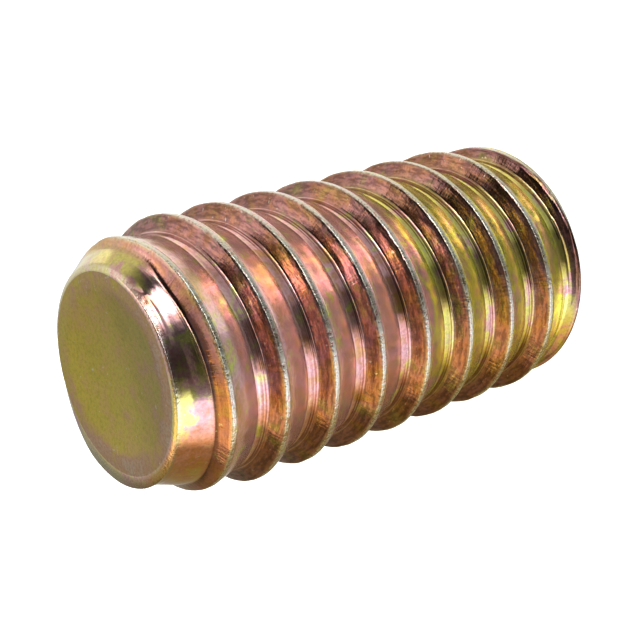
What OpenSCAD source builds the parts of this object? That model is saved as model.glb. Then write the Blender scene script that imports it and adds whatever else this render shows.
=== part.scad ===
// Threaded insert for wood, with one closed end.
// One turned steel piece: a coarse right-hand wood thread outside, a tapped blind hole inside,
// and a hexagon drive socket in the open end. It stands on its open end, closed end up.
// Millimetres. The origin is the middle of the open end, and +Z runs along the axis.

/* [Body] */
// Overall length
length = 22; // [20.5:0.5:26]
// Diameter over the crests of the outer thread
crest_d = 11.9; // [11.7:0.05:12.5]
// Diameter at the root of the outer thread
root_d = 10.5; // [10.3:0.1:10.8]

/* [Outer thread] */
// Axial distance from one crest to the next
pitch = 2.54; // [2.4:0.02:2.8]
// Width of the worn flat on the crest
crest_flat = 0.2; // [0.1:0.05:0.3]
// Axial length of the steep flank, on the side of the closed end
steep_flank = 0.33; // [0.25:0.01:0.5]
// Axial length of the long flank, on the side of the open end
long_flank = 1.5; // [1.2:0.05:1.6]
// Depth of the first crest below the closed face, at the angle where the thread starts
first_crest = 1.07; // [0.9:0.01:1.3]
// Crest diameter of the first turn, which is still running in
first_turn_d = 11.66; // [11.5:0.02:11.8]
// Crest diameter at the lowest place of the first turn, half way round
first_dip_d = 11.14; // [11:0.02:11.6]
// Angle before the start over which the crest rises from the nose
run_in_angle = 60; // [30:5:90]
// Angle after the start at which the first groove begins, with a blunt end
groove_start = 36; // [20:2:60]

/* [Closed end] */
// Diameter of the flat face
face_d = 8.6; // [8:0.1:9]
// Diameter at the foot of the rounded rim
rim_d = 9.22; // [9:0.02:9.6]
// Depth of the rounded rim below the face
rim_depth = 0.3; // [0.2:0.02:0.4]
// Length of the nose, from the face to the full root diameter
nose_length = 2.5; // [1.6:0.1:3]
// Diameter of the shallow dish in the face
dish_d = 7.3; // [5:0.1:7.6]
// Depth of the dish
dish_depth = 0.3; // [0.1:0.05:0.5]

/* [Open end] */
// Diameter of the rim that closes the last groove
end_rim_d = 11.25; // [11:0.05:11.4]
// Length of that rim, with its steep side
end_rim_length = 0.6; // [0.4:0.1:0.9]
// Outer diameter of the flat end face
end_face_d = 11.2; // [10.8:0.04:11.24]
// Crest diameter where the last turn runs out at the open end
last_turn_d = 11.48; // [11.2:0.04:11.6]
// Hexagon drive socket, across the flats
socket_flats = 8; // [6:0.5:8]
// Depth of the socket
socket_depth = 4.6; // [4.2:0.1:6]
// Width of the chamfer round the socket's mouth
mouth_chamfer = 0.35; // [0.1:0.05:0.4]
// Diameter of the hole inside the internal thread
bore_d = 6.8; // [6:0.1:6.8]
// Depth of the hole's straight wall, from the open end
bore_depth = 17.6; // [12:0.2:18]

/* [Hidden] */

columns = 72;                        // flats round one turn of the thread
crest_r = crest_d / 2;
root_r = root_d / 2;
face_r = face_d / 2;
rim_r = rim_d / 2;
end_rim_r = end_rim_d / 2;
blunt_angle = 12;                    // angle over which the first groove reaches its depth
cone_slope = 0.72;                   // radius gained per depth on the cone ahead of the first crest
cone_r = 4.5;                        // radius from which that cone rises at the closed face
cone_edge = 0.12;                    // depth of the rounded edge between the face and the cone
cone_curve = 0.6;                    // exponent of that edge's section
swell_angle = 35;                    // angle over which the cone swells out of the nose
rim_curve = 0.8;                     // exponent of the rounded rim's section
nose_shallow = 0.58;                 // depth of the last ring of the nose
tail_height = end_rim_length;        // height of the first ring of the open end
end_face_r = end_face_d / 2;
end_edge_slope = 0.6;                // radius gained per height on the edge of the open end
last_turn_r = last_turn_d / 2;
last_turn_height = 1;                // height up to which the last crest keeps its small radius
last_turn_slope = 0.32;              // radius gained per height above that
start_r = root_r - 0.4;              // radius at which the first crest leaves the nose
first_turn_r = first_turn_d / 2;
first_dip_r = first_dip_d / 2;
start_loss = 0.34;                   // radius the first crest still lacks at the thread's start
rise_curve = 1.6;                    // exponent of the crest's rise up to the thread's start
full_angle = 60;                     // angle by which the first turn has its full radius
dip_start = 110;                     // angle at which the first turn falls to its lowest place
dip_angle = 180;                     // angle of that lowest place
drill_cone = 118;                    // angle of the drill point at the bottom of the hole
lead_in = 0.6;                       // radial width of the cone between socket and bore
overlap = 0.5;                       // how far a cutter runs past a face
seam = 0.001;                        // smallest step that counts as a gap
rim_rise = 0.75;                     // share of the end rim's length taken by its steep side
corner_gap = 0.02;                   // how far the mouth's chamfer reaches past the corners

// Axial places of the four lines that make one turn of the thread, after the crest's middle.
// In order away from the closed end: rear edge of the crest, foot of the long flank,
// foot of the next steep flank, front edge of the next crest.
line_offsets = [
  crest_flat / 2,
  crest_flat / 2 + long_flank,
  pitch - crest_flat / 2 - steep_flank,
  pitch - crest_flat / 2
];
line_count = len(line_offsets);
start_turn = -2;                     // the lines start two turns early, hidden by the nose
turns = ceil((length - first_crest) / pitch) - start_turn;
helix_rows = line_count * turns;

nose_depths = [0, rim_depth * 0.2, rim_depth * 0.6, rim_depth, nose_shallow];
tail_heights = [tail_height, tail_height * 0.6, tail_height * 0.22, 0];
nose_rows = len(nose_depths);
tail_rows = len(tail_heights);

// A value between a and b as x goes from 0 to 1, level at both ends.
function ease(a, b, x) =
  let (t = min(max(x, 0), 1))
  a + (b - a) * t * t * (3 - 2 * t);

// Crest radius at an angle counted on round all the turns from the thread's start.
function crest_radius(turn_angle) =
  turn_angle < 0
    ? start_r + (first_turn_r - start_loss - start_r)
        * pow(max(0, 1 + turn_angle / run_in_angle), rise_curve)
  : turn_angle < dip_start
    ? ease(first_turn_r - start_loss, first_turn_r, turn_angle / full_angle)
  : turn_angle < dip_angle
    ? ease(first_turn_r, first_dip_r, (turn_angle - dip_start) / (dip_angle - dip_start))
  : ease(first_dip_r, crest_r, (turn_angle - dip_angle) / dip_angle);

// Radius of the nose at a depth below the face: a short round rim, then a long curve
// that flattens out into the root.
function nose_radius(depth) =
  depth < rim_depth
    ? face_r + (rim_r - face_r) * pow(depth / rim_depth, rim_curve)
    : let (x = min((depth - rim_depth) / (nose_length - rim_depth), 1))
      rim_r + (root_r - rim_r) * sin(90 * x);

// Radius of the cone that fills the nose ahead of the first crest. It swells out of the nose
// before the crest does, and is cut off where the groove starts.
function cone_radius(depth, turn_angle) =
  turn_angle < -run_in_angle - swell_angle || turn_angle > groove_start + blunt_angle
    ? 0
    : let (
        nose = nose_radius(depth),
        edge = (cone_r - face_r) * pow(min(depth / cone_edge, 1), cone_curve),
        full = face_r + edge + depth * cone_slope,
        top = max(nose, min(full, max(nose, crest_radius(turn_angle)))),
        swollen = ease(nose, top, (turn_angle + run_in_angle + swell_angle) / swell_angle)
      )
      ease(start_r, swollen, (groove_start + blunt_angle - turn_angle) / blunt_angle);

// Radius of the rim at the open end, which stops the last groove.
function tail_rim_radius(height) =
  height >= tail_height
    ? 0
    : ease(root_r, end_rim_r, (tail_height - height) / (tail_height * rim_rise));

// Greatest radius allowed near the open end: the face's broken edge, then the last crest's
// run-out.
function tail_limit(height) = min(
  end_face_r + height * end_edge_slope,
  last_turn_r + max(0, height - last_turn_height) * last_turn_slope,
  crest_r
);

// Thread radius between two lines, for the rings that cross the thread.
function thread_radius(along) =
  let (turn = floor(along / pitch), x = along - turn * pitch)
  x < line_offsets[0] ? crest_r
  : x < line_offsets[1] ? crest_r + (root_r - crest_r) * (x - line_offsets[0]) / long_flank
  : x < line_offsets[2] ? root_r
  : x < line_offsets[3] ? root_r + (crest_r - root_r) * (x - line_offsets[2]) / steep_flank
  : crest_r;

// Point at a height and an angle, counted clockwise as seen from the closed end.
function place(r, angle, height) = [r * cos(angle), -r * sin(angle), height];

// A point of the nose's rings.
function nose_point(row, angle) =
  let (
    depth = nose_depths[row],
    near = angle > 180 ? angle - 360 : angle,
    r = row == 0 ? face_r : max(nose_radius(depth), cone_radius(depth, near))
  )
  place(r, angle, length - depth);

// A point of the open end's rings.
function tail_point(row, angle) =
  let (
    height = tail_heights[row],
    along = length - height - first_crest - pitch * angle / 360,
    r = max(thread_radius(along), tail_rim_radius(height))
  )
  place(min(r, tail_limit(height)), angle, height);

// Height of a line of the thread, before it is stopped by the nose or the open end.
function line_height(row, angle) =
  let (turn = floor(row / line_count) + start_turn, line = row % line_count)
  length - first_crest - pitch * (turn + angle / 360) - line_offsets[line];

// A point on a line of the thread.
function line_point(row, angle) =
  let (
    turn = floor(row / line_count) + start_turn,
    line = row % line_count,
    height = line_height(row, angle),
    depth = length - height,
    crest_turn = line == 0 ? turn : turn + 1,
    turn_angle = crest_turn * 360 + angle,
    crest = crest_radius(turn_angle),
    thread = line == 0 || line == 3 ? crest : root_r,
    bottom = line == 1 || line == 2 ? 0 : min(root_r, nose_radius(depth)),
    cone = turn < 0 ? cone_radius(depth, turn_angle) : 0,
    r = max(min(thread, line == 1 || line == 2 ? nose_radius(depth) : crest_r), bottom, cone)
  )
  place(min(r, tail_limit(height)), angle, height);

// The number of a point. A line that has run past the nose's last ring, or past the open end's
// first ring, takes that ring's point, so that the skin stays closed.
function nose_index(row, column) = row * columns + column % columns;
function tail_index(row, column) = (nose_rows + helix_rows + row) * columns + column % columns;
function line_index(row, column) =
  let (
    past_seam = column >= columns,
    real_row = past_seam ? row + line_count : row,
    real_column = column % columns,
    height = line_height(real_row, real_column * 360 / columns)
  )
  height >= length - nose_shallow - seam ? nose_index(nose_rows - 1, real_column)
  : height <= tail_height + seam || real_row >= helix_rows ? tail_index(0, real_column)
  : (nose_rows + real_row) * columns + real_column;

// The two triangles between four points, leaving out any that has closed up to nothing.
function triangle(a, b, c) = a == b || b == c || a == c ? [] : [[a, b, c]];
function patch(a, b, c, d) = concat(triangle(a, b, c), triangle(a, c, d));

// The outer skin of the insert as one closed solid.
module threaded_blank() {
  angles = [for (column = [0 : columns - 1]) column * 360 / columns];
  points = concat(
    [for (row = [0 : nose_rows - 1], angle = angles) nose_point(row, angle)],
    [for (row = [0 : helix_rows - 1], angle = angles) line_point(row, angle)],
    [for (row = [0 : tail_rows - 1], angle = angles) tail_point(row, angle)]
  );
  nose_faces = [
    for (row = [0 : nose_rows - 2], column = [0 : columns - 1])
      each patch(nose_index(row, column), nose_index(row, column + 1),
                 nose_index(row + 1, column + 1), nose_index(row + 1, column))
  ];
  thread_faces = [
    for (row = [0 : helix_rows - 2], column = [0 : columns - 1])
      each patch(line_index(row, column), line_index(row, column + 1),
                 line_index(row + 1, column + 1), line_index(row + 1, column))
  ];
  tail_faces = [
    for (row = [0 : tail_rows - 2], column = [0 : columns - 1])
      each patch(tail_index(row, column), tail_index(row, column + 1),
                 tail_index(row + 1, column + 1), tail_index(row + 1, column))
  ];
  closed_face = [for (column = [columns - 1 : -1 : 0]) nose_index(0, column)];
  open_face = [for (column = [0 : columns - 1]) tail_index(tail_rows - 1, column)];
  polyhedron(points, concat(nose_faces, thread_faces, tail_faces, [closed_face], [open_face]));
}

// Shallow dish in the closed face: a slice of a sphere.
module face_dish() {
  sphere_r = (pow(dish_d / 2, 2) + pow(dish_depth, 2)) / (2 * dish_depth);
  translate([0, 0, length - dish_depth + sphere_r])
    sphere(r = sphere_r, $fn = 96);
}

// Hexagon socket for the driving key, with a chamfered mouth.
module drive_socket() {
  across_corners = socket_flats / cos(30);
  mouth_r = across_corners / 2 + corner_gap;
  translate([0, 0, -overlap])
    cylinder(d = across_corners, h = socket_depth + overlap, $fn = 6);
  translate([0, 0, -seam])
    cylinder(r1 = mouth_r, r2 = mouth_r - mouth_chamfer, h = mouth_chamfer, $fn = 96);
}

// Blind hole that carries the internal thread: a cone under the socket, a straight wall,
// and the drill's point at the bottom.
module tapped_hole() {
  bore_r = bore_d / 2;
  point_height = bore_r / tan(drill_cone / 2);
  translate([0, 0, socket_depth - seam])
    cylinder(r1 = bore_r + lead_in, r2 = bore_r, h = lead_in, $fn = 96);
  translate([0, 0, socket_depth - overlap])
    cylinder(r = bore_r, h = bore_depth - socket_depth + overlap, $fn = 96);
  translate([0, 0, bore_depth])
    cylinder(r1 = bore_r, r2 = 0, h = point_height, $fn = 96);
}

module insert_body() {
  color([0.72, 0.6, 0.36])
    difference() {
      threaded_blank();
      face_dish();
      drive_socket();
      tapped_hole();
    }
}

insert_body();
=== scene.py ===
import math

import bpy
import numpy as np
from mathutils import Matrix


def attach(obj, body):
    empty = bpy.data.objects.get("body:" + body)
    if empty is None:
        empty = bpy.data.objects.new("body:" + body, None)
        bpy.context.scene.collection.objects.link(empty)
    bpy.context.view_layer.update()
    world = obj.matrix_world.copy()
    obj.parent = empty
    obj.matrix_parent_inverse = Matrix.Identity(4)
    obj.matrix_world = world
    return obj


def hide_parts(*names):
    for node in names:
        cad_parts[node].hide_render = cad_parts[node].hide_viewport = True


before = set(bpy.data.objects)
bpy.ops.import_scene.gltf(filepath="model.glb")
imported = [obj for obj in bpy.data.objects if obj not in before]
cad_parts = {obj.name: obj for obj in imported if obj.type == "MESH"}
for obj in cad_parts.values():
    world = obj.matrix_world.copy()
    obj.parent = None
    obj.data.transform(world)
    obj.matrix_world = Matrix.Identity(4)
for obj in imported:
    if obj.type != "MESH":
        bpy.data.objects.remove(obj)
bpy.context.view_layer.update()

# %% [markdown]
# # A blind threaded insert in yellow-passivated steel
#
# The real object is one turned piece of steel, about 12 mm across and 22 mm long. A coarse
# right-hand thread runs round it, one end is closed and slightly dished, and the other end has
# a hexagon socket and a tapped hole. The whole skin is plated with zinc and then dipped in a
# yellow passivating bath, which leaves a thin film with gold, pink and green tints.
#
# The packed model already has every real shape. This script puts a finer skin over it, as one
# closed surface worked out with numpy, and then gives that skin its finish.

MM = 0.001

# %% [markdown]
# ## The camera
#
# The insert stands on its open end, with the closed end up, because that is how it rests by
# itself. The camera looks down at the closed end from close by and is rolled a quarter turn, so
# the insert seems to lie across the picture. A short distance and a narrow lens give the strong
# taper of a close-up. The camera is given by where it stands and by three directions at right
# angles: its right, its up and its back.

# %% Camera
CAMERA_MM = (8.977, -52.006, 49.948)
CAMERA_RIGHT = (-0.18479, -0.60817, -0.77200)
CAMERA_UP = (0.97253, 0.0, -0.23279)
CAMERA_BACK = (0.14158, -0.79380, 0.59147)
FOCAL_PIXELS, PICTURE_PIXELS, SENSOR_MM = 1462.95, 640, 36.0


def make_camera():
    """A pinhole camera; its matrix holds the three directions as columns, then its place."""
    data = bpy.data.cameras.new("camera")
    data.sensor_width = SENSOR_MM
    data.lens = SENSOR_MM * FOCAL_PIXELS / PICTURE_PIXELS
    data.clip_start, data.clip_end = 0.001, 100.0
    camera = bpy.data.objects.new("camera", data)
    matrix = np.eye(4)
    matrix[:3, 0], matrix[:3, 1], matrix[:3, 2] = CAMERA_RIGHT, CAMERA_UP, CAMERA_BACK
    matrix[:3, 3] = np.array(CAMERA_MM) * MM
    camera.matrix_world = Matrix(matrix.tolist())
    bpy.context.scene.collection.objects.link(camera)
    bpy.context.scene.camera = camera
    return camera


camera = make_camera()
print("lens, mm:", round(camera.data.lens, 1))

# %% [markdown]
# ## Sizes
#
# These are the packed model's sizes, in millimetres. The long flank of the thread faces the
# open end and the steep flank faces the closed end. A mirror-like surface shows a lean of a few
# hundredths of a millimetre as a bright or a dark line, so a few values are finer here than in
# the packed model: the long flank is 0.04 mm narrower, the groove's floor rises a little
# towards the next crest, and the steep flank is narrower in the first turn.

# %% Sizes of the body
LENGTH = 22.0
CREST_R, ROOT_R = 5.95, 5.25
PITCH, CREST_FLAT, STEEP_FLANK, LONG_FLANK = 2.54, 0.2, 0.33, 1.46
FIRST_STEEP_FLANK, ROOT_LEAN, ROOT_LEAN_REACH, ROOT_DROP = 0.2, 0.11, 0.55, 0.025
FACE_R, RIM_R, RIM_DEPTH, RIM_POWER, NOSE_LENGTH = 4.3, 4.61, 0.3, 0.8, 2.5
DISH_R, DISH_DEPTH = 3.65, 0.3
END_RIM_R, END_RIM_LENGTH, END_RIM_RISE, END_FACE_R, END_SLOPE = 5.625, 0.6, 0.75, 5.6, 0.6
LAST_TURN_R, RUN_OUT_HEIGHT, RUN_OUT_SLOPE = 5.74, 1.0, 0.32
SOCKET_FLATS, SOCKET_DEPTH = 8.0, 4.6
BORE_R, BORE_DEPTH, LEAD_IN, DRILL_ANGLE = 3.4, 17.6, 0.6, 118.0
print("thread depth, mm:", round(CREST_R - ROOT_R, 2), "floor of the groove, mm:",
      round(PITCH - CREST_FLAT - STEEP_FLANK - LONG_FLANK, 2))

# %% [markdown]
# The thread starts at angle 0, where the first crest stands 1.07 mm below the closed face. The
# values below say how it comes out of the nose: a cone swells ahead of the start, the first
# crest rises, dips a little half a turn on, and is full after one turn. Angles are in degrees.

# %% The thread's start
FIRST_CREST, START_R, FIRST_TURN_R, FIRST_DIP_R, START_LOSS = 1.07, 4.85, 5.83, 5.57, 0.34
RUN_IN, RUN_IN_POWER, FIRST_RISE = 60.0, 1.6, 60.0
DIP_START, DIP_END, FULL_AT = 110.0, 180.0, 360.0
CONE_FADE, GROOVE_START, BLUNT = 35.0, 28.0, 24.0
CONE_LIP, CONE_LIP_DEPTH, CONE_LIP_POWER, CONE_SLOPE = 0.2, 0.12, 0.6, 0.72
STEEP_GROWS_FROM, STEEP_GROWS_OVER = 60.0, 180.0
SETTLING = 1 / 12
print("turns of the thread:", round((LENGTH - FIRST_CREST) / PITCH, 1))

# %% [markdown]
# ## Small random wanderings
#
# A real crest isn't a clean line: it was rolled, plated in a barrel with hundreds of others, and
# knocked. So its radius and its edges wander a little. The wander is a row of random heights at
# even steps, joined by smooth curves, and several such rows of finer and finer step are added.
# The generator is seeded, so the same wander comes out each time.

# %% Seeded wander
def wander(x, step, seed, octaves=3, count=4096):
    """Sum of smooth random curves: heights at every `step`, eased between, halved each octave."""
    total = np.zeros_like(x, dtype=float)
    for octave in range(octaves):
        heights = np.random.default_rng(seed + octave).uniform(-1, 1, count)
        place = x / (step / 2 ** octave) + 1000.0
        cell = np.floor(place).astype(int)
        t = place - cell
        t = t * t * (3 - 2 * t)
        total += (heights[cell % count] * (1 - t) + heights[(cell + 1) % count] * t) / 2 ** octave
    return total / (2 - 2.0 ** (1 - octaves))


sample = wander(np.linspace(0, 50, 500), 1.0, 1)
print("wander between", sample.min().round(2), "and", sample.max().round(2))

# %% [markdown]
# ## Simple curves
#
# Every soft change in this script is one of four curves, so they get names.

# %% Curves
def climb(x, low, high):
    """0 up to `low`, 1 from `high` on, a straight line between."""
    return np.clip((x - low) / (high - low), 0, 1)


def ease(a, b, x):
    """From a to b as x goes from 0 to 1, level at both ends: a + (b - a) t t (3 - 2 t)."""
    t = np.clip(x, 0, 1)
    return a + (b - a) * t * t * (3 - 2 * t)


def bell(x, middle, width):
    """A hump of height 1: e to the power of minus ((x - middle) / width) squared."""
    return np.exp(-((x - middle) / width) ** 2)


def plateau(x, middle, flat, fade):
    """1 out to `flat` on either side of the middle, then a straight fall to 0 over `fade`."""
    return np.clip((flat + fade - np.abs(x - middle)) / fade, 0, 1)


print("halfway up:", climb(1.5, 1, 2), ease(0, 1, 0.5), "half a width off a bell:",
      bell(0.5, 0, 1).round(2))

# %% [markdown]
# ## The outer skin as one formula
#
# Every point outside is at some depth below the closed face and at some angle, counted
# clockwise from above. The formula gives its radius. `along` is the distance from the nearest
# crest line above, measured down the axis, and it is the same everywhere on one line of the
# thread, because the line drops by one pitch in each turn.

# %% The crest and the nose
def crest_radius(turn_angle):
    """Crest radius: rises out of the nose, holds, dips half a turn on, then reaches full."""
    start = FIRST_TURN_R - START_LOSS
    rise = START_R + (start - START_R) * np.clip(1 + turn_angle / RUN_IN, 0, None) ** RUN_IN_POWER
    first = ease(start, FIRST_TURN_R, turn_angle / FIRST_RISE)
    dip = ease(FIRST_TURN_R, FIRST_DIP_R, (turn_angle - DIP_START) / (DIP_END - DIP_START))
    full = ease(FIRST_DIP_R, CREST_R, (turn_angle - DIP_END) / (FULL_AT - DIP_END))
    stages = [turn_angle < -RUN_IN, turn_angle < 0, turn_angle < DIP_START, turn_angle < DIP_END]
    return np.select(stages, [START_R, rise, first, dip], full)


def nose_radius(depth):
    """A small round rim, then a quarter of a sine wave that flattens out into the root."""
    rim = FACE_R + (RIM_R - FACE_R) * (np.clip(depth, 0, RIM_DEPTH) / RIM_DEPTH) ** RIM_POWER
    x = climb(depth, RIM_DEPTH, NOSE_LENGTH)
    return np.where(depth < RIM_DEPTH, rim, RIM_R + (ROOT_R - RIM_R) * np.sin(math.pi / 2 * x))


def cone_radius(depth, near):
    """The cone ahead of the first crest: a small lip, then a straight slope. It swells out of
    the nose before the thread's start and sinks back into it where the groove starts. `near` is
    the angle, from -180 to 180."""
    nose = nose_radius(depth)
    lip = CONE_LIP * np.clip(depth / CONE_LIP_DEPTH, 0, 1) ** CONE_LIP_POWER
    top = np.minimum(FACE_R + lip + depth * CONE_SLOPE, np.maximum(crest_radius(near), nose))
    swell = ease(nose, np.maximum(top, nose), (near + CONE_FADE + RUN_IN) / CONE_FADE)
    return ease(nose, swell, (GROOVE_START + BLUNT - near) / BLUNT)


print("crest radius at -60, 0, 60, 180 and 360 degrees, mm:",
      crest_radius(np.array([-60.0, 0, 60, 180, 360])).round(2))

# %% The thread and the end rim
def thread_radius(depth, angle, slip):
    """From the crest above: long flank, floor that rises a little, steep flank to the crest
    below. Each flank is a straight blend from its crest's radius to the floor's."""
    lost = depth + slip - FIRST_CREST - PITCH * angle / 360
    turn = np.floor(lost / PITCH)
    along = lost - turn * PITCH
    above, below = crest_radius(turn * 360 + angle), crest_radius((turn + 1) * 360 + angle)
    past_crest = along - CREST_FLAT / 2
    rise = ROOT_LEAN * np.clip(past_crest - LONG_FLANK, 0, ROOT_LEAN_REACH) - ROOT_DROP
    floor = np.minimum(ROOT_R + rise, nose_radius(depth))
    long_share = np.clip(past_crest / LONG_FLANK, 0, 1)
    grown = ((turn + 1) * 360 + angle - STEEP_GROWS_FROM) / STEEP_GROWS_OVER
    steep_width = ease(FIRST_STEEP_FLANK, STEEP_FLANK, grown)
    steep_share = np.clip((PITCH - CREST_FLAT / 2 - along) / steep_width, 0, 1)
    flanks = np.maximum(above + (floor - above) * long_share, below + (floor - below) * steep_share)
    return np.maximum(flanks, floor)


def end_limits(height):
    """The least and the greatest radius near the open end: the rim that stops the last groove,
    and the run-out of the last crest with the end's chamfer."""
    up_rim = (END_RIM_LENGTH - height) / (END_RIM_LENGTH * END_RIM_RISE)
    rim = np.where(height < END_RIM_LENGTH, ease(ROOT_R, END_RIM_R, up_rim), 0)
    run_out = LAST_TURN_R + np.clip(height - RUN_OUT_HEIGHT, 0, None) * RUN_OUT_SLOPE
    return rim, np.minimum(np.minimum(END_FACE_R + height * END_SLOPE, run_out), CREST_R)


def outer_radius(depth, angle, slip=0.0):
    """The largest of thread, start cone and end rim, cut off at the run-out. `slip` moves the
    thread along the axis."""
    near = np.where(angle > 180, angle - 360, angle)
    ahead = depth + slip < FIRST_CREST + PITCH * near / 360
    cone = np.where(ahead, cone_radius(depth, near), 0)
    rim, limit = end_limits(LENGTH - depth)
    return np.minimum(np.maximum(np.maximum(thread_radius(depth, angle, slip), cone), rim), limit)


print("outer radius on one line down the side, mm:",
      outer_radius(np.array([0.1, 1.0, 5.0, 6.2, 21.9]), 90.0).round(2))

# %% [markdown]
# ## Wear and the tool's line
#
# The crests are knocked and worn, so their edges wander along the axis and their tops are
# uneven. In the bottom of every groove runs a fine double line, left where two cuts of the
# thread met. The formula is averaged over a few close depths, which rounds every edge a little,
# as plating and handling do.

# %% Fine outer surface
LINE_PLACE, LINE_WIDTH, LINE_HEIGHT, SECOND_LINE = 1.93, 0.035, 0.008, 0.7
LINE_FROM, LINE_TO, LINE_FADE = 2.9, LENGTH - 1.6, 0.8
EDGE_SPREAD = (-0.04, -0.02, 0.0, 0.02, 0.04)
SLIP_REACH, SLIP_STEP, SLIP_SEED = 0.03, 1.3, 11
WEAR_MEAN, WEAR_REACH, WEAR_STEP, WEAR_SEED = 0.012, 0.018, 0.45, 21
CREST_STANDS_FROM, CREST_STANDS_TO = 5.2, 5.4


def thread_place(depth, angle):
    """The nearest crest's turn number and the distance down the axis from the crest above. The
    last quarter of a pitch counts to the next crest."""
    lost = depth - FIRST_CREST - PITCH * angle / 360
    return np.floor(lost / PITCH + 0.25), lost - np.floor(lost / PITCH) * PITCH


def started(turn, angle):
    """0 ahead of the thread's start and 1 after it, over a twelfth of a turn on either side."""
    return climb(turn + angle / 360, -SETTLING, SETTLING)


def crest_nearness(depth, angle):
    """1 along the middle of a crest's top, falling to 0 at its edges."""
    along = thread_place(depth, angle)[1]
    stands = climb(outer_radius(depth, angle), CREST_STANDS_FROM, CREST_STANDS_TO)
    return plateau(np.minimum(along, PITCH - along), 0, 0.08, 0.05) * stands


def fine_outer(depth, angle):
    """The outer radius averaged over close depths, with ragged crests and the groove's line."""
    turn, along = thread_place(depth, angle)
    travelled = (turn + angle / 360) * 2 * math.pi * CREST_R
    slip = SLIP_REACH * wander(travelled, SLIP_STEP, SLIP_SEED) * started(turn, angle)
    radius = sum(outer_radius(depth + s, angle, slip) for s in EDGE_SPREAD) / len(EDGE_SPREAD)
    wear = WEAR_MEAN + WEAR_REACH * wander(travelled, WEAR_STEP, WEAR_SEED)
    radius = radius - wear * crest_nearness(depth, angle)
    ridge = bell(along, LINE_PLACE, LINE_WIDTH)
    ditch = SECOND_LINE * bell(along, LINE_PLACE - 2 * LINE_WIDTH, LINE_WIDTH)
    in_groove = (climb(depth, LINE_FROM, LINE_FROM + LINE_FADE)
                 * (1 - climb(depth, LINE_TO - LINE_FADE, LINE_TO)) * (radius < ROOT_R + 0.05))
    return radius + LINE_HEIGHT * (ridge - ditch) * in_groove


print("worn radius round one ring, mm:", fine_outer(10.0, np.arange(0.0, 360, 60)).round(3))

# %% [markdown]
# ## The socket and the internal thread
#
# The open end carries a hexagon socket for the driving key. Its corners are broken by a cone at
# the mouth. Under it a short cone leads into an M8 thread: pitch 1.25 mm, with grooves cut
# outward from the 6.8 mm bore, and the hole ends in the cone that a drill leaves.

# %% Radius inside
INNER_PITCH, INNER_GROOVE_R, INNER_FLAT, INNER_FLANK = 1.25, 4.0, 0.08, 0.39
INNER_END, INNER_FADE = BORE_DEPTH - 1.2, 1.0
MOUTH_R = SOCKET_FLATS / 2 / math.cos(math.pi / 6) + 0.02


def socket_radius(height, angle):
    """Half the hexagon's width over a cosine, or the mouth's cone where that is wider."""
    hexagon = SOCKET_FLATS / 2 / np.cos(np.radians(angle % 60 - 30))
    return np.maximum(hexagon, MOUTH_R - height)


def inner_radius(height, angle):
    """The bore with a V groove that drops one pitch a turn, opened by the lead-in cone."""
    lost = (height - SOCKET_DEPTH) / INNER_PITCH + angle / 360
    along = np.abs(lost - np.floor(lost) - 0.5) * INNER_PITCH
    share = 1 - climb(along, INNER_FLAT, INNER_FLAT + INNER_FLANK)
    fade = 1 - climb(height, INNER_END - INNER_FADE, INNER_END)
    lead_in = BORE_R + LEAD_IN - (height - SOCKET_DEPTH)
    return np.maximum(BORE_R + (INNER_GROOVE_R - BORE_R) * share * fade, lead_in)


print("inner radius up one line of the hole, mm:",
      inner_radius(np.array([4.6, 8.0, 8.6, 12.0, 17.0]), 0.0).round(2))

# %% [markdown]
# ## Rows of points
#
# The skin is a grid. Each row is a ring of points round the axis, and the rows follow one
# another from the middle of the closed face, over the rim, down the thread, across the open
# end, into the socket and up the hole to the drill point. On a thread a row runs along the
# helix, so that it always lies on a crest's edge, a flank or the root. Where such a row would
# pass the flat ring at either end of the thread, its points are that ring's points, so nothing
# gapes.

# %% Flat rings
COLUMNS = 300
angles = np.arange(COLUMNS + 1) * 360.0 / COLUMNS


def column(values):
    """A list as one value for each row."""
    return np.array(values, float)[:, None]


def flat_rows(radius, height, part):
    """Rings given by a radius and a height for each row and angle. V is the distance run."""
    radius, height = np.broadcast_arrays(radius, height, 0 * angles[None, :])[:2]
    run = np.hypot(np.diff(radius[:, 0]), np.diff(height[:, 0]))
    v = np.concatenate([[0.0], np.cumsum(run)])[:, None] + 0 * radius
    return {"r": radius, "z": height, "part": part, "step": None,
            "u": angles[None, :] / 360 + 0 * v, "v": v, "v_next": np.vstack([v[1:], v[-1:]])}


print("points round each ring:", COLUMNS)

# %% Rows along a thread
TOUCH = 1e-4


def thread_rows(offsets, turns, pitch, low, high, place, part):
    """Rows along a helix between two rings. A row starts at its offset in its turn, and moves
    one pitch along the axis in a full circle; `place` turns that travel into radius and height.
    U counts the turns and V is the place across the thread's section."""
    way = 1 if part == "skin" else -1
    turn = np.repeat(np.arange(*turns), len(offsets))[:, None]
    starts = turn * pitch + np.tile(offsets, turns[1] - turns[0])[:, None]
    rise = way * pitch * angles[None, :] / 360
    travel = starts + rise
    stopped = np.clip(travel, low, high)
    radius, height = place(stopped)
    v = stopped - rise - turn * pitch
    following = np.vstack([stopped[1:], stopped[-1:]]) - rise - turn * pitch
    return {"r": radius, "z": height, "part": part, "step": way * len(offsets),
            "low": travel <= low + TOUCH, "high": travel >= high - TOUCH,
            "u": turn + angles[None, :] / 360, "v": v, "v_next": following}


# %% [markdown]
# The lists below say where the rings lie. They are close together where the section bends and
# further apart where it is straight, because only a bend needs many points.

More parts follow.
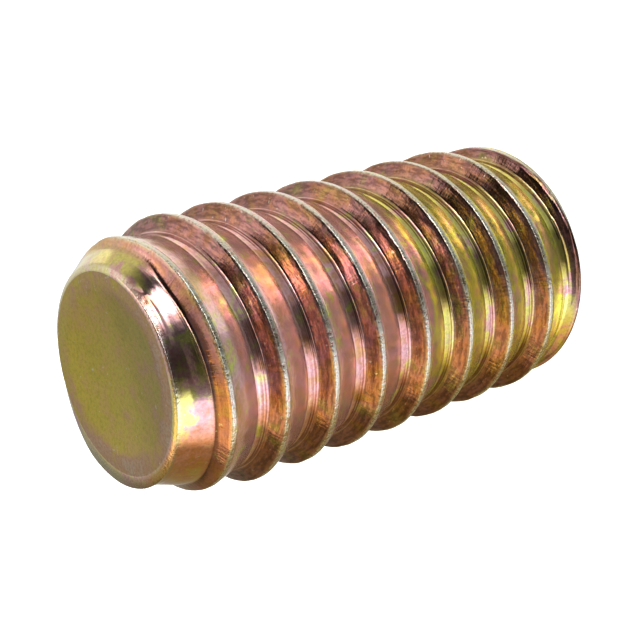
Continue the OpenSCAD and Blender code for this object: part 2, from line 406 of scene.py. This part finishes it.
# %% All the rows, from the closed face to the drill point
FACE_RINGS = [0, 0.6, 1.2, 1.8, 2.3, 2.7, 3.0, 3.2, 3.35, 3.5, 3.62, 3.75, 3.9, 4.05, 4.2, 4.27]
NOSE_RINGS = [0, 0.015, 0.04, 0.08, 0.13, 0.18, 0.24, 0.3, 0.36, 0.43, 0.5, 0.58]
TURN_ROWS = [0, 0.05, 0.09, 0.14, 0.22, 0.8, 1.42, 1.51, 1.55, 1.6, 1.68, 1.79, 1.84, 1.88,
             1.93, 1.98, 2.06, 2.11, 2.16, 2.28, 2.38, 2.42, 2.46, 2.5]
TAIL_RINGS = [0.6, 0.5, 0.4, 0.3, 0.2, 0.12, 0.06, 0.03, 0]
END_RINGS = [5.5, 5.3, 5.0, 4.8, 4.68]
MOUTH_RINGS = [0, 0.04, 0.12, 0.2, 0.28, 0.35, 0.37, 0.6, 1.2, 2.2, 3.2, 4.1, 4.5, 4.57, 4.6]
SHELF_SHARES = [0.03, 0.5, 0.97, 1]
INNER_ROWS = [0, 0.16, 0.3, 0.55, 0.7, 0.95]
POINT_RINGS = [3.4, 3.3, 2.6, 1.8, 1.0, 0.4, 0]
OUTER_TURNS, INNER_TURNS = (-2, 9), (0, 12)
EDGE_ROUND = 0.06
DISH_EDGE_DROP, DISH_EDGE_WIDTH = 0.012, 0.16


def dished_height(radius):
    """The face's height: a shallow bowl out to the dish's edge, with that edge softened."""
    bowl = DISH_DEPTH * np.clip(1 - (radius / DISH_R) ** 2, 0, None)
    return LENGTH - bowl - DISH_EDGE_DROP * bell(radius, DISH_R, DISH_EDGE_WIDTH)


def outer_place(travel):
    """Radius and height on the outer thread, from the distance below the first crest."""
    return fine_outer(travel + FIRST_CREST, angles[None, :]), LENGTH - FIRST_CREST - travel


def inner_place(travel):
    """Radius and height on the inner thread, from the distance above the socket's floor."""
    return inner_radius(travel + SOCKET_DEPTH, angles[None, :]), travel + SOCKET_DEPTH


def all_rows():
    """The blocks of rows in order; each starts where the one before it ends."""
    nose, tail, mouth = column(NOSE_RINGS), column(TAIL_RINGS), column(MOUTH_RINGS)
    nose_r = np.where(nose == 0, FACE_R, fine_outer(nose, angles[None, :]))
    tail_r = fine_outer(LENGTH - tail, angles[None, :])
    tail_r = tail_r - 0.4 * EDGE_ROUND * np.clip(1 - tail / EDGE_ROUND, 0, 1)
    hexagon = socket_radius(SOCKET_DEPTH, angles)[None, :]
    shelf = hexagon + (BORE_R + LEAD_IN - hexagon) * column(SHELF_SHARES)
    point = column(POINT_RINGS)
    rise = (BORE_R - point) / math.tan(math.radians(DRILL_ANGLE / 2))
    return [
        flat_rows(column(FACE_RINGS), dished_height(column(FACE_RINGS)), "face"),
        flat_rows(nose_r, LENGTH - nose, "skin"),
        thread_rows(TURN_ROWS, OUTER_TURNS, PITCH, NOSE_RINGS[-1] - FIRST_CREST,
                    LENGTH - TAIL_RINGS[0] - FIRST_CREST, outer_place, "skin"),
        flat_rows(tail_r, tail, "skin"),
        flat_rows(column(END_RINGS), 0.0, "end"),
        flat_rows(socket_radius(mouth, angles[None, :]), mouth, "inside"),
        flat_rows(shelf, SOCKET_DEPTH, "inside"),
        thread_rows(INNER_ROWS, INNER_TURNS, INNER_PITCH, 0.0, BORE_DEPTH - SOCKET_DEPTH,
                    inner_place, "inside"),
        flat_rows(point, BORE_DEPTH + rise, "inside"),
    ]


blocks = all_rows()
print("rows:", sum(len(block["r"]) for block in blocks), "of", COLUMNS, "points")

# %% [markdown]
# ## Sewing the rows
#
# Every point gets a number. Points of helical rows that have passed a ring take that ring's
# numbers, and at the end of its circle a helical row meets the row one turn further on. Each
# four neighbouring points make two triangles, and a triangle that has closed up to a line is
# left out. What is left is one closed skin with no seam.

# %% Numbers of the points
def numbers(block, first_row):
    """The number of each point, with one more column that closes the circle."""
    rows = len(block["r"])
    own = (first_row + np.arange(rows))[:, None] * COLUMNS + np.arange(COLUMNS)[None, :]
    if block["step"] is None:
        own = np.where(block["r"][:, :1] < 1e-9, own[:, :1], own)
        return np.hstack([own, own[:, :1]])
    above = (first_row - 1) * COLUMNS + np.arange(COLUMNS)[None, :]
    below = (first_row + rows) * COLUMNS + np.arange(COLUMNS)[None, :]
    own = np.where(block["low"][:, :-1], above, np.where(block["high"][:, :-1], below, own))
    onward = np.arange(rows) + block["step"]
    close = own[np.clip(onward, 0, rows - 1), 0]
    close = np.where(onward < 0, above[0, 0], np.where(onward >= rows, below[0, 0], close))
    return np.hstack([own, close[:, None]])


# %% Triangles
def sew(blocks):
    """Triangles of the whole skin, with a UV pair for each of their corners."""
    index, u, v, v_next, first_row = [], [], [], [], 0
    for block in blocks:
        index.append(numbers(block, first_row))
        u.append(block["u"] + 0 * block["v"])
        v.append(block["v"])
        v_next.append(block["v_next"])
        first_row += len(block["r"])
    index, u, v, v_next = (np.vstack(part) for part in (index, u, v, v_next))
    a, b, c, d = index[:-1, :-1], index[:-1, 1:], index[1:, 1:], index[1:, :-1]
    corner_u = [u[:-1, :-1], u[:-1, 1:], u[:-1, 1:], u[:-1, :-1]]
    corner_v = [v[:-1, :-1], v[:-1, 1:], v_next[:-1, 1:], v_next[:-1, :-1]]
    triangles, uvs = [], []
    for way in ((0, 1, 2), (0, 2, 3)):
        tri = np.stack([(a, b, c, d)[k] for k in way], axis=-1).reshape(-1, 3)
        uv = np.stack([np.stack([corner_u[k], corner_v[k]], axis=-1) for k in way], axis=-2)
        whole = (tri[:, 0] != tri[:, 1]) & (tri[:, 1] != tri[:, 2]) & (tri[:, 2] != tri[:, 0])
        triangles.append(tri[whole])
        uvs.append(uv.reshape(-1, 3, 2)[whole])
    return np.concatenate(triangles), np.concatenate(uvs)


triangles, uvs = sew(blocks)
print("triangles:", len(triangles))

# %% [markdown]
# ## Masks for the finish
#
# The finish isn't the same all over, and only the shape knows where a crest or a flank is. So
# each point gets a few values from 0 to 1, and the material reads them as attributes:
#
# - worn: the tops of the crests, and the nose's rim at a lower value;
# - steep and long: the two flanks; face: the closed end; down: the share of the length;
# - nose: the shoulder between the face and the first crest, and tone: how thick the film is
#   there, given for each angle round the axis;
# - blush: the ring round the dish; corner: painted shade in the corner between the nose and
#   the thread, and on the end of the start cone.

# %% Where each mask lies
STEEP_MIDDLE, STEEP_FLAT, STEEP_FADE = 2.28, 0.102, 0.17
LONG_MIDDLE, LONG_FLAT, LONG_FADE = 0.85, 0.6, 0.3
NOSE_TURN = [-160, -40, 20, 38, 50, 62, 80, 98, 108, 120, 130, 160, 200]
NOSE_TONE = [0.75, 0.76, 0.80, 0.56, 0.52, 0.56, 0.64, 0.74, 0.64, 0.54, 0.26, 0.20, 0.75]
# These values place painted shade: a dark line in the corner under the nose and a dark patch on the
# start cone's end.
CORNER_PLACE, CORNER_WIDTH, CORNER_FROM, CORNER_TO = 2.20, 0.07, (34, 46), (170, 190)
CONE_END, CONE_END_WIDTH, CONE_END_SHADE = 38, 8, 0.75
BLUSH_ANGLE, RIM_WEAR = 130, 0.6


def corner_shade_mask(depth, angle, turn, along):
    """Painted shade: a line in the corner under the nose and a patch at the start cone's end."""
    line = bell(along, CORNER_PLACE, CORNER_WIDTH) * (turn < 0.5)
    line = line * climb(angle, *CORNER_FROM) * (1 - climb(angle, *CORNER_TO))
    patch = CONE_END_SHADE * bell(angle, CONE_END, CONE_END_WIDTH) * (turn < 0)
    return line, patch * climb(depth, 0, 0.3)


def masks_of(block):
    """The masks of one block of rows, as a value for each point."""
    depth, radius = (LENGTH - block["z"])[:, :-1], block["r"][:, :-1]
    angle = np.broadcast_to(angles[None, :-1], depth.shape)
    turn, along = thread_place(depth, angle)
    skin, face = float(block["part"] == "skin"), float(block["part"] == "face")
    past_nose = climb(depth, NOSE_RINGS[-1], NOSE_RINGS[-1] + 0.5) * skin
    nose = (1 - climb(depth, 1.8, 2.6)) * max(skin, face)
    line, patch = corner_shade_mask(depth, angle, turn, along)
    side = np.clip(0.75 + 0.5 * np.cos(np.radians(angle - BLUSH_ANGLE)), 0.1, 1)
    return {
        "worn": np.maximum(crest_nearness(depth, angle), RIM_WEAR * bell(depth, 0.06, 0.1)) * skin,
        "steep": plateau(along, STEEP_MIDDLE, STEEP_FLAT, STEEP_FADE) * past_nose,
        "long": plateau(along, LONG_MIDDLE, LONG_FLAT, LONG_FADE) * past_nose
                * started(turn, angle),
        "face": np.full(depth.shape, face),
        "down": depth / LENGTH,
        "nose": nose,
        "tone": np.interp(np.where(angle > 200, angle - 360, angle), NOSE_TURN, NOSE_TONE),
        "blush": climb(radius, 3.25, 3.7) * (depth < 0.5) * side,
        # The corner mask is painted shade: it darkens the film in the corner under the nose.
        "corner": np.maximum(line * nose, patch) * skin,
    }


def all_masks(blocks):
    """The masks of every block, one long row of values for each name."""
    found = [masks_of(block) for block in blocks]
    return {name: np.vstack([each[name] for each in found]).ravel() for name in found[0]}


masks = all_masks(blocks)
print("share of the points in each mask:",
      {name: round(float(value.mean()), 2) for name, value in masks.items()})

# %% [markdown]
# ## The mesh
#
# The points, the triangles, the UV map and the masks go into one mesh, each in a single call.
# The mesh is in metres and its object stays at the origin, so that a pattern on the object's
# coordinates stays where it is.

# %% The insert
def points_of(blocks):
    """Rings to points: x is r cos, y is minus r sin, because angles run clockwise."""
    turn = np.radians(angles[:-1])[None, :]
    return np.concatenate([np.stack([
        block["r"][:, :-1] * np.cos(turn), -block["r"][:, :-1] * np.sin(turn),
        block["z"][:, :-1]], axis=-1).reshape(-1, 3) for block in blocks])


def signed_volume(points, triangles):
    """A sixth of the sum of a . (b x c): positive where the faces point outward."""
    a, b, c = (points[triangles[:, k]] for k in range(3))
    return np.einsum("ij,ij->i", a, np.cross(b, c)).sum() / 6


def make_insert(points, triangles, uvs, masks):
    """One closed mesh with its UV map and its masks. Points that no triangle uses are left out."""
    used, renumbered = np.unique(triangles, return_inverse=True)
    points, triangles = points[used], renumbered.reshape(-1, 3)
    volume = signed_volume(points, triangles)
    if volume < 0:
        triangles, uvs = triangles[:, ::-1], uvs[:, ::-1]
    mesh = bpy.data.meshes.new("insert_skin")
    mesh.vertices.add(len(points))
    mesh.vertices.foreach_set("co", (points * MM).astype(np.float32).ravel())
    mesh.loops.add(triangles.size)
    mesh.loops.foreach_set("vertex_index", triangles.astype(np.int32).ravel())
    mesh.polygons.add(len(triangles))
    mesh.polygons.foreach_set("loop_start", np.arange(0, triangles.size, 3, dtype=np.int32))
    layer = mesh.uv_layers.new(name="turned")
    layer.data.foreach_set("uv", uvs.astype(np.float32).ravel())
    for name, value in masks.items():
        attribute = mesh.attributes.new(name, "FLOAT", "POINT")
        attribute.data.foreach_set("value", value[used].astype(np.float32))
    mesh.polygons.foreach_set("use_smooth", np.ones(len(triangles), bool))
    mesh.update(calc_edges=True)
    piece = bpy.data.objects.new("insert_skin", mesh)
    bpy.context.scene.collection.objects.link(piece)
    print("insert:", len(points), "points,", len(triangles), "triangles, volume, mm3:",
          round(abs(volume), 1), "problems mended:", mesh.validate())
    return piece


insert = make_insert(points_of(blocks), triangles, uvs, masks)
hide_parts("insert_body")
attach(insert, "root")

# %% [markdown]
# ## The finish
#
# Yellow passivated zinc is a metal under a film a few hundred nanometres thick. The film's
# thickness changes from place to place, so the tint drifts between old gold, pink and a
# yellow-green. Where the crests have rubbed on one another the film is gone and grey zinc
# shows. The steep flanks carry fine scratches, and painted shade darkens them in streaks.
#
# The node helpers keep the graph readable: each one makes a node, sets its values and wires it.

# %% Node helpers
class Graph:
    """Makes and wires the nodes of one tree."""

    def __init__(self, tree):
        self.tree = tree

    def make(self, kind, **values):
        """A node of one kind, with its settings."""
        node = self.tree.nodes.new(kind)
        for name, value in values.items():
            setattr(node, name, value)
        return node

    def wire(self, source, target):
        """Links another node's output, or sets a plain value."""
        if hasattr(source, "is_output"):
            self.tree.links.new(source, target)
        elif source is not None:
            target.default_value = source

    def filled(self, node, places, items):
        """Wires several inputs of a node, by their places."""
        for place, item in zip(places, items):
            self.wire(item, node.inputs[place])
        return node

    def math(self, operation, a, b=None, c=None):
        """One step of arithmetic."""
        node = self.make("ShaderNodeMath", operation=operation)
        return self.filled(node, (0, 1, 2), (a, b, c)).outputs[0]

    def attribute(self, name):
        """A mask stored on the mesh."""
        return self.make("ShaderNodeAttribute", attribute_name=name).outputs["Fac"]

    def mapped(self, vector, scale):
        """Coordinates stretched along each axis."""
        node = self.make("ShaderNodeMapping")
        return self.filled(node, ("Vector", "Scale"), (vector, scale)).outputs[0]

    def noise(self, vector, scale, detail, rough, warp=0.0):
        """Smooth noise from about 0.2 to 0.8, with its middle at 0.5."""
        node = self.make("ShaderNodeTexNoise")
        names = ("Vector", "Scale", "Detail", "Roughness", "Distortion")
        return self.filled(node, names, (vector, scale, detail, rough, warp)).outputs["Fac"]

    def span(self, value, low, high, to_low=0.0, to_high=1.0):
        """A smooth step from to_low to to_high as the value goes from low to high."""
        node = self.make("ShaderNodeMapRange", interpolation_type="SMOOTHSTEP")
        return self.filled(node, range(5), (value, low, high, to_low, to_high)).outputs[0]

    def sum(self, *items):
        """All the items added up."""
        total = items[0]
        for item in items[1:]:
            total = self.math("ADD", total, item)
        return total

    def times(self, a, b):
        """a times b."""
        return self.math("MULTIPLY", a, b)

    def swing(self, noise, reach):
        """A noise, moved to lie evenly about 0 and scaled."""
        return self.math("MULTIPLY_ADD", noise, reach, -0.5 * reach)

    def blend(self, share, a, b):
        """a where the share is 0 and b where it is 1, for plain values."""
        node = self.make("ShaderNodeMix", data_type="FLOAT")
        return self.filled(node, (0, 2, 3), (share, a, b)).outputs[0]

    def mix(self, share, a, b, blend="MIX"):
        """a where the share is 0 and b where it is 1, for colours."""
        node = self.make("ShaderNodeMix", data_type="RGBA", blend_type=blend)
        return self.filled(node, (0, 6, 7), (share, a, b)).outputs[2]

    def ramp(self, value, stops, interpolation="LINEAR"):
        """A colour for each value, from (value, colour) pairs."""
        node = self.make("ShaderNodeValToRGB")
        node.color_ramp.interpolation = interpolation
        elements = node.color_ramp.elements
        for place, (position, colour) in enumerate(stops):
            stop = elements[place] if place < 2 else elements.new(position)
            stop.position, stop.color = position, (*colour, 1)
        return self.filled(node, (0,), (value,)).outputs[0]


print("node helpers:", [name for name in vars(Graph) if not name.startswith("_")])

# %% [markdown]
# Colours are given as linear light, red, green and blue. Each list below runs through the
# colours of one kind of surface as its film gets thicker: brown, copper, pink, then yellow. The
# thickness is a slow noise in the object's own space, so it doesn't care about the thread's
# seams, and it is greater towards the open end. Tool marks and scratches use the UV map, in
# which U counts turns and V runs across the thread's section.

# %% Colours and patterns
FILM = [(0.00, (0.60, 0.40, 0.10)), (0.14, (0.62, 0.32, 0.08)), (0.28, (0.62, 0.27, 0.13)),
        (0.44, (0.70, 0.32, 0.27)), (0.56, (0.72, 0.38, 0.33)), (0.66, (0.68, 0.50, 0.21)),
        (0.76, (0.66, 0.56, 0.13)), (0.88, (0.72, 0.60, 0.15)), (1.00, (0.66, 0.48, 0.14))]
FLANK_FILM = [(0.00, (0.74, 0.52, 0.20)), (0.25, (0.90, 0.52, 0.34)), (0.42, (0.95, 0.53, 0.49)),
              (0.56, (0.88, 0.59, 0.36)), (0.68, (0.76, 0.78, 0.16)), (0.84, (0.98, 0.97, 0.08)),
              (1.00, (0.86, 0.64, 0.22))]
FACE_FILM = [(0.00, (0.44, 0.36, 0.06)), (0.35, (0.50, 0.40, 0.06)), (0.55, (0.52, 0.36, 0.10)),
             (0.75, (0.50, 0.30, 0.17)), (1.00, (0.50, 0.38, 0.26))]
STEEP_FILM = [(0.00, (0.60, 0.42, 0.14)), (0.24, (0.58, 0.33, 0.12)), (0.42, (0.60, 0.26, 0.15)),
              (0.62, (0.60, 0.27, 0.25)), (0.80, (0.52, 0.38, 0.15)), (1.00, (0.47, 0.43, 0.11))]
ZINC, PIT = (0.56, 0.51, 0.38, 1), (0.10, 0.07, 0.04, 1)
FAR_FROM, FAR_TO = 0.46, 0.66
FILM_THICKNESS, FLANK_THICKNESS = (0.44, 0.70), (0.40, 0.84)
STEEP_THICKNESS, FACE_THICKNESS = 0.5, 0.42
# The last two levels are painted shade: the corner under the nose, and streaks on the steep flanks.
LEVEL, NOSE_LEVEL, CORNER_SHADE_LEVEL, STEEP_SHADE_LEVELS = 0.92, 0.84, 0.12, (0.26, 0.50)


def surface_noises(g):
    """Patterns from slow to fine, in waves a metre. On the UV map they are in waves a turn and
    waves a millimetre, so a streak is long and thin along the thread and a scratch crosses it."""
    place = g.make("ShaderNodeTexCoord").outputs["Object"]
    turned = g.make("ShaderNodeUVMap", uv_map="turned").outputs["UV"]
    return {"drift": g.noise(place, 480.0, 3.0, 0.6, 0.5),
            "blotch": g.noise(place, 1300.0, 2.5, 0.55, 0.5),
            "grain": g.noise(place, 7000.0, 2.0, 0.6),
            "rub": g.noise(place, 3800.0, 3.0, 0.6),
            "pit": g.noise(place, 5600.0, 1.0, 0.5),
            "streak": g.noise(g.mapped(turned, (60.0, 14.0, 1.0)), 1.0, 3.0, 0.6),
            "scratch": g.noise(g.mapped(turned, (220.0, 3.0, 1.0)), 1.0, 3.0, 0.65)}


# %% The film's colour
def film_tint(g, mask, noise, far):
    """Film thickness to colour, on each kind of surface, and the masks put them together."""
    uneven = g.sum(g.swing(noise["drift"], 1.6), g.swing(noise["blotch"], 1.1),
                   g.swing(noise["grain"], 0.25))
    uneven = g.times(uneven, 0.9)
    thick = g.blend(mask["nose"], g.blend(far, *FILM_THICKNESS), mask["tone"])
    tint = g.ramp(g.sum(thick, uneven), FILM)
    flank_tint = g.ramp(g.sum(g.blend(far, *FLANK_THICKNESS), uneven), FLANK_FILM)
    tint = g.mix(mask["long"], tint, flank_tint)
    steep_thick = g.sum(g.swing(noise["drift"], 1.3), g.swing(noise["blotch"], 0.7),
                        STEEP_THICKNESS)
    tint = g.mix(mask["steep"], tint, g.ramp(steep_thick, STEEP_FILM))
    face_thick = g.sum(g.swing(noise["drift"], 0.9), g.swing(noise["blotch"], 0.9),
                       g.swing(noise["grain"], 0.3), FACE_THICKNESS)
    face_tint = g.ramp(g.sum(face_thick, g.times(mask["blush"], 0.36)), FACE_FILM)
    return g.mix(mask["face"], tint, face_tint)


def film_level(g, mask, noise):
    """How much light the film gives back: painted shade in streaks on the steep flanks and
    in the corner under the nose, and a fine grain over all."""
    # Painted shade: the steep flanks are darkened in streaks.
    level = g.blend(mask["steep"], LEVEL, g.span(noise["streak"], 0.40, 0.60, *STEEP_SHADE_LEVELS))
    level = g.blend(mask["nose"], level, NOSE_LEVEL)
    # Painted shade: the film is nearly black in the corner under the nose.
    level = g.blend(mask["corner"], level, CORNER_SHADE_LEVEL)
    return g.times(level, g.span(noise["grain"], 0.30, 0.60, 0.88, 1.06))


# %% Fine relief
def relief(g, mask, noise):
    """Bump height in millimetres: a slow swell, tool marks on the steep flanks, rough crests."""
    cuts = g.sum(g.times(noise["scratch"], 0.011), g.times(noise["streak"], 0.008))
    height = g.sum(g.times(noise["drift"], 0.008), g.times(noise["blotch"], 0.005),
                   g.times(noise["grain"], 0.0012), g.times(cuts, mask["steep"]),
                   g.times(g.times(noise["grain"], mask["worn"]), 0.03))
    bump = g.make("ShaderNodeBump")
    bump.inputs["Strength"].default_value = 1.0
    bump.inputs["Distance"].default_value = MM
    g.wire(height, bump.inputs["Height"])
    return bump.outputs["Normal"]


# %% Passivated steel
MASK_NAMES = ("worn", "steep", "long", "face", "down", "nose", "tone", "blush", "corner")
COAT_WEIGHT, COAT_ROUGHNESS, COAT_IOR = 0.4, 0.08, 1.6


def passivated_steel():
    """The film's colour, bare zinc on worn places, dark pits, and a clear layer near the closed
    end, where the film is thin and glassy."""
    material = bpy.data.materials.new("passivated_steel")
    material.use_nodes = True
    g = Graph(material.node_tree)
    shader = material.node_tree.nodes["Principled BSDF"]
    noise = surface_noises(g)
    mask = {name: g.attribute(name) for name in MASK_NAMES}
    far = g.span(mask["down"], FAR_FROM, FAR_TO)

    tint = g.mix(1.0, film_tint(g, mask, noise, far), film_level(g, mask, noise), "MULTIPLY")
    bare = g.times(mask["worn"], g.span(noise["grain"], 0.36, 0.56, 0.35, 1.0))
    rubbed = g.span(noise["rub"], 0.66, 0.72, 0.0, 0.6)
    tint = g.mix(g.math("MAXIMUM", bare, rubbed), tint, ZINC)
    pits = g.span(noise["pit"], 0.30, 0.25, 0.0, 0.8)
    g.wire(g.mix(g.times(pits, mask["steep"]), tint, PIT), shader.inputs["Base Color"])

    rough = g.sum(g.span(noise["blotch"], 0.35, 0.70, 0.06, 0.13), g.times(bare, 0.20),
                  g.times(mask["face"], 0.12), g.times(mask["steep"], 0.03),
                  g.times(mask["long"], 0.08))
    g.wire(rough, shader.inputs["Roughness"])
    g.wire(g.math("MULTIPLY_ADD", mask["long"], -0.15, 1.0), shader.inputs["Metallic"])
    clear = g.times(g.blend(far, COAT_WEIGHT, 0.0), g.blend(mask["steep"], 1.0, 0.0))
    g.wire(g.times(clear, g.blend(mask["face"], 1.0, 0.0)), shader.inputs["Coat Weight"])
    shader.inputs["Coat Roughness"].default_value = COAT_ROUGHNESS
    shader.inputs["Coat IOR"].default_value = COAT_IOR
    g.wire(relief(g, mask, noise), shader.inputs["Normal"])
    return material


insert.data.materials.append(passivated_steel())
print("materials:", [m.name for m in insert.data.materials])

# %% [markdown]
# ## The floor
#
# The floor is plain and white. It gives off a share of white to the camera alone, and takes a
# share of real light, so that a soft shadow stays on it. It is left out of the reflections, so
# that the metal sees the whole studio.

# %% Floor
FLOOR_GLOW, FLOOR_WHITE, FLOOR_HALF = 0.75, 0.8, 2.0


def floor_material():
    """Diffuse white, plus a glow for camera rays."""
    material = bpy.data.materials.new("studio_floor")
    material.use_nodes = True
    tree = material.node_tree
    tree.nodes.clear()
    g = Graph(tree)
    diffuse, glow = g.make("ShaderNodeBsdfDiffuse"), g.make("ShaderNodeEmission")
    diffuse.inputs["Color"].default_value = (FLOOR_WHITE, FLOOR_WHITE, FLOOR_WHITE, 1)
    add, out = g.make("ShaderNodeAddShader"), g.make("ShaderNodeOutputMaterial")
    camera_ray = g.make("ShaderNodeLightPath").outputs["Is Camera Ray"]
    g.wire(g.math("MULTIPLY", camera_ray, FLOOR_GLOW), glow.inputs["Strength"])
    g.wire(diffuse.outputs[0], add.inputs[0])
    g.wire(glow.outputs[0], add.inputs[1])
    g.wire(add.outputs[0], out.inputs["Surface"])
    return material


def make_floor(half=FLOOR_HALF):
    """A square at the height of the insert's open end."""
    mesh = bpy.data.meshes.new("studio_floor")
    mesh.from_pydata([(-half, -half, 0), (half, -half, 0), (half, half, 0), (-half, half, 0)],
                     [], [(0, 1, 2, 3)])
    floor = bpy.data.objects.new("studio_floor", mesh)
    bpy.context.scene.collection.objects.link(floor)
    mesh.materials.append(floor_material())
    floor.visible_glossy = False
    floor.visible_shadow = False
    return floor


floor = make_floor()
print("floor, m:", tuple(round(side, 2) for side in floor.dimensions))

# %% [markdown]
# ## The studio
#
# Metal has almost no colour of its own light: what is seen on it is the studio. So the studio
# is written as a sky of soft patches: bright strips on either side of the camera, a dark room
# behind the camera between them, and a dim top. The sky is cut into rings one above another.
# Each ring is a list of (degrees clockwise from above, level) pairs, and a table says between
# which heights one ring gives way to the next. A height is the sine of the angle above the
# horizon. The long flanks see the studio only by way of the steep flank across the groove, so
# the strips that light them are the brightest.

# %% Rings of light
RING_BELOW = [(0, 1.1), (42, 1.1), (66, 0.35), (330, 0.5), (345, 1.0)]
RING_DEEP = [(0, 1.0), (18, 0.55), (58, 0.5), (72, 0.12), (98, 0.12), (118, 1.4), (156, 1.2),
             (175, 0.4), (205, 0.3), (235, 0.3), (265, 0.8), (300, 1.3), (335, 1.3)]
RING_LOW = [(0, 0.8), (8, 0.5), (20, 0.5), (44, 0.6), (60, 0.3), (72, 0.08), (84, 0.05),
            (98, 0.08), (110, 0.3), (122, 2.4), (142, 2.8), (158, 1.8), (174, 0.5),
            (196, 0.4), (235, 0.35), (262, 0.5), (285, 1.1), (315, 1.5), (335, 1.5)]
RING_MID = [(0, 0.55), (10, 0.6), (18, 3.2), (24, 6.4), (38, 6.2), (46, 2.4), (54, 0.5), (61, 0.12),
            (84, 0.05), (98, 0.08), (114, 0.25), (121, 0.5), (128, 2.2), (144, 2.2), (158, 1.4),
            (174, 0.45), (196, 0.2), (235, 0.3), (262, 0.4), (280, 0.95), (340, 0.88)]
RING_GAP = [(0, 0.6), (10, 0.4), (20, 0.16), (60, 0.1), (98, 0.2), (112, 0.5), (124, 0.9),
            (134, 1.5), (148, 1.4), (164, 1.0), (196, 0.5), (235, 0.4), (262, 0.45), (285, 1.0),
            (340, 0.9)]
RING_HIGH = [(0, 0.8), (10, 1.5), (22, 4.0), (33, 10.0), (56, 9.6), (66, 4.0), (74, 1.7),
             (100, 1.5), (150, 1.3), (185, 0.9), (215, 0.4), (255, 0.6), (290, 1.1), (315, 1.3),
             (335, 1.2)]
RING_TOP = [(0, 0.05), (15, 0.04), (35, 0.04), (60, 0.05), (80, 0.1), (125, 0.25), (145, 0.6),
            (165, 1.6), (205, 2.2), (235, 0.9), (270, 0.7), (300, 1.5), (325, 2.2), (334, 1.8),
            (341, 0.4), (346, 0.05)]
SKY = [(-0.86, -0.76, RING_DEEP), (-0.50, -0.38, RING_LOW), (0.03, 0.10, RING_MID),
       (0.22, 0.28, RING_GAP), (0.38, 0.44, RING_HIGH), (0.635, 0.655, RING_TOP)]
ZENITH_FROM, ZENITH_TO, ZENITH_LEVEL = 0.93, 0.96, 0.28
BRIGHTEST = 10.0
print("rings:", 1 + len(SKY), "brightest:", max(level for ring in SKY for _, level in ring[2]))

# %% [markdown]
# The strips aren't all the same white. Those on either side of the camera are slightly cool,
# and the one on the -X side is warm, as light from a coloured wall is. The tint goes by the
# share of a full turn, clockwise from above.

# %% The sky of soft patches
LIGHT_TINT = [(0.0, (1.0, 1.0, 1.0)), (0.03, (1.0, 1.0, 1.0)), (0.07, (0.88, 1.0, 1.16)),
              (0.18, (0.88, 1.0, 1.16)), (0.24, (1.0, 1.0, 1.0)), (0.30, (1.0, 1.0, 1.0)),
              (0.34, (0.94, 1.03, 1.30)), (0.40, (0.94, 1.03, 1.30)), (0.46, (1.0, 0.80, 0.38)),
              (0.62, (1.0, 0.80, 0.38)), (0.72, (1.0, 1.0, 1.0))]


def ring_of_light(g, turn, stops):
    """Brightness round the insert. A ramp holds values up to 1, so levels are shares of the
    brightest."""
    shares = [(degrees / 360, [level / BRIGHTEST] * 3) for degrees, level in stops]
    return g.times(g.ramp(turn, shares + [(1.0, shares[0][1])], "EASE"), BRIGHTEST)


def make_world():
    """Light by direction: its turn and its height pick the level. Camera rays see white."""
    world = bpy.data.worlds.new("studio")
    bpy.context.scene.world = world
    world.use_nodes = True
    g = Graph(world.node_tree)
    background = world.node_tree.nodes["Background"]
    direction = g.make("ShaderNodeTexCoord").outputs["Generated"]
    apart = g.make("ShaderNodeSeparateXYZ")
    g.wire(direction, apart.inputs[0])
    x, y, z = apart.outputs
    turn = g.math("DIVIDE", g.math("ARCTAN2", g.math("MULTIPLY", y, -1.0), x), 2 * math.pi)
    turn = g.math("WRAP", turn, 1.0, 0.0)
    level = ring_of_light(g, turn, RING_BELOW)
    for low, high, ring in SKY:
        level = g.mix(g.span(z, low, high), level, ring_of_light(g, turn, ring))
    zenith = (ZENITH_LEVEL, ZENITH_LEVEL, ZENITH_LEVEL, 1)
    level = g.mix(g.span(z, ZENITH_FROM, ZENITH_TO), level, zenith)
    level = g.mix(1.0, level, g.ramp(turn, LIGHT_TINT), "MULTIPLY")
    camera_ray = g.make("ShaderNodeLightPath").outputs["Is Camera Ray"]
    g.wire(g.mix(camera_ray, level, (1, 1, 1, 1)), background.inputs["Color"])
    return world


print("world:", make_world().name)

# %% [markdown]
# One large soft lamp stands over the floor for the shadow. The metal doesn't mirror it.

# %% Lamp and view
LAMP_SIZE, LAMP_WATTS = 0.6, 2.0


def make_top_light():
    """A soft disk above the insert, turned a little towards it."""
    data = bpy.data.lights.new("top_light", "AREA")
    data.shape, data.size, data.energy = "DISK", LAMP_SIZE, LAMP_WATTS
    lamp = bpy.data.objects.new("top_light", data)
    lamp.location = (-0.1, -0.2, 0.6)
    lamp.rotation_euler = (-0.3, -0.15, 0)
    lamp.visible_glossy = False
    bpy.context.scene.collection.objects.link(lamp)
    return lamp


print("lamp, watts:", make_top_light().data.energy)
bpy.context.scene.view_settings.view_transform = "Standard"

# %% [markdown]
